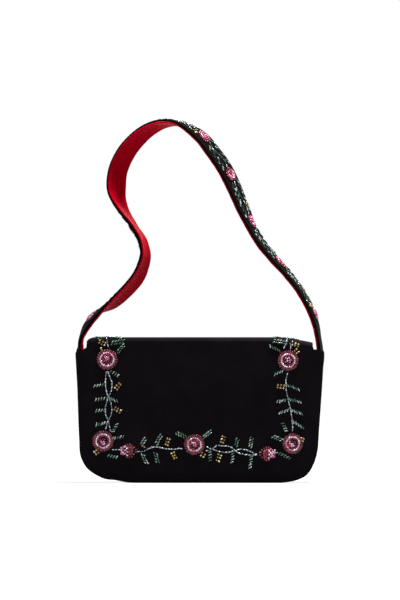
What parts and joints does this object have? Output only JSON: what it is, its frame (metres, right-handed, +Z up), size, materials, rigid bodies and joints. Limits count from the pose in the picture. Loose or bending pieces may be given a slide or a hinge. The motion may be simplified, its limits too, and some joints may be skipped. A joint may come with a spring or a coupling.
{
  "type": "baguette bag",
  "caption": "Small baguette bag with a full beaded front flap on a magnetic snap, a satin lining and one short shoulder strap.",
  "frame": {"origin": "centre of the base, on the surface that the bag stands on, midway between the flap's face and the back panel", "axes": "+X to the right seen from the flap, +Y from the flap to the back panel, +Z up to the strap"},
  "size_m": [0.26, 0.0481, 0.3825],
  "materials": {
    "black_cloth": "black silk crepe, matt",
    "red_satin": "red satin, soft sheen",
    "board": "stiffening board",
    "felt": "needled felt and webbing",
    "snap_brass": "polished plated brass",
    "magnet": "bare ring magnet",
    "washer_steel": "stamped steel",
    "rose_glass": "crimson and pink glass beads",
    "silver_glass": "silver-lined glass beads",
    "green_glass": "green silver-lined glass beads",
    "gold_glass": "gold silver-lined glass beads"
  },
  "bodies": {
    "bag": {"front_panel": "black_cloth", "back_panel": "black_cloth", "gusset": "black_cloth", "front_board": "board", "back_board": "board", "base_board": "board", "gusset_felt": "felt", "front_lining": "red_satin", "back_lining": "red_satin", "gusset_lining": "red_satin", "mouth_binding": "black_cloth", "inner_pocket": "red_satin", "snap_socket": "snap_brass", "socket_magnet": "magnet", "socket_washer": "washer_steel", "left_strap_end": "black_cloth", "right_strap_end": "black_cloth", "left_strap_root": "black_cloth", "right_strap_root": "black_cloth", "back_fold_cloth": "black_cloth", "back_fold_lining": "red_satin"},
    "flap_top": {"flap_top_cloth": "black_cloth", "flap_top_felt": "felt", "flap_top_lining": "red_satin", "flap_top_beads": "green_glass", "front_fold_cloth": "black_cloth", "front_fold_lining": "red_satin"},
    "flap_front": {"flap_cloth": "black_cloth", "flap_board": "board", "flap_lining": "red_satin", "snap_stud": "snap_brass", "stud_washer": "washer_steel", "flap_roses": "rose_glass", "flap_buds": "rose_glass", "flap_vine": "silver_glass", "flap_green_leaves": "green_glass", "flap_gold_leaves": "gold_glass"},
    "strap": {"strap_cloth": "black_cloth", "strap_core": "felt", "strap_lining": "red_satin", "strap_roses": "rose_glass", "strap_vine": "silver_glass", "strap_green_leaves": "green_glass", "strap_gold_leaves": "gold_glass"}
  },
  "joints": [
    {"name": "flap_lift", "type": "hinge", "parent": "bag", "child": "flap_top", "pos_m": [0, 0.0175, 0.147], "axis": [-1, 0, 0], "range_deg": [0, 100], "deforming": ["back_fold_cloth", "back_fold_lining"]},
    {"name": "flap_unfold", "type": "hinge", "parent": "flap_top", "child": "flap_front", "pos_m": [0, -0.0175, 0.147], "axis": [-1, 0, 0], "range_deg": [0, 90], "deforming": ["front_fold_cloth", "front_fold_lining"]},
    {"name": "strap_swing", "type": "hinge", "parent": "bag", "child": "strap", "pos_m": [0, 0.003, 0.139], "axis": [-1, 0, 0], "range_deg": [0, 100], "deforming": ["left_strap_root", "right_strap_root"]}
  ],
  "couplings": [
    {"joint": "strap_swing", "follows": "flap_lift", "ratio": 1}
  ]
}
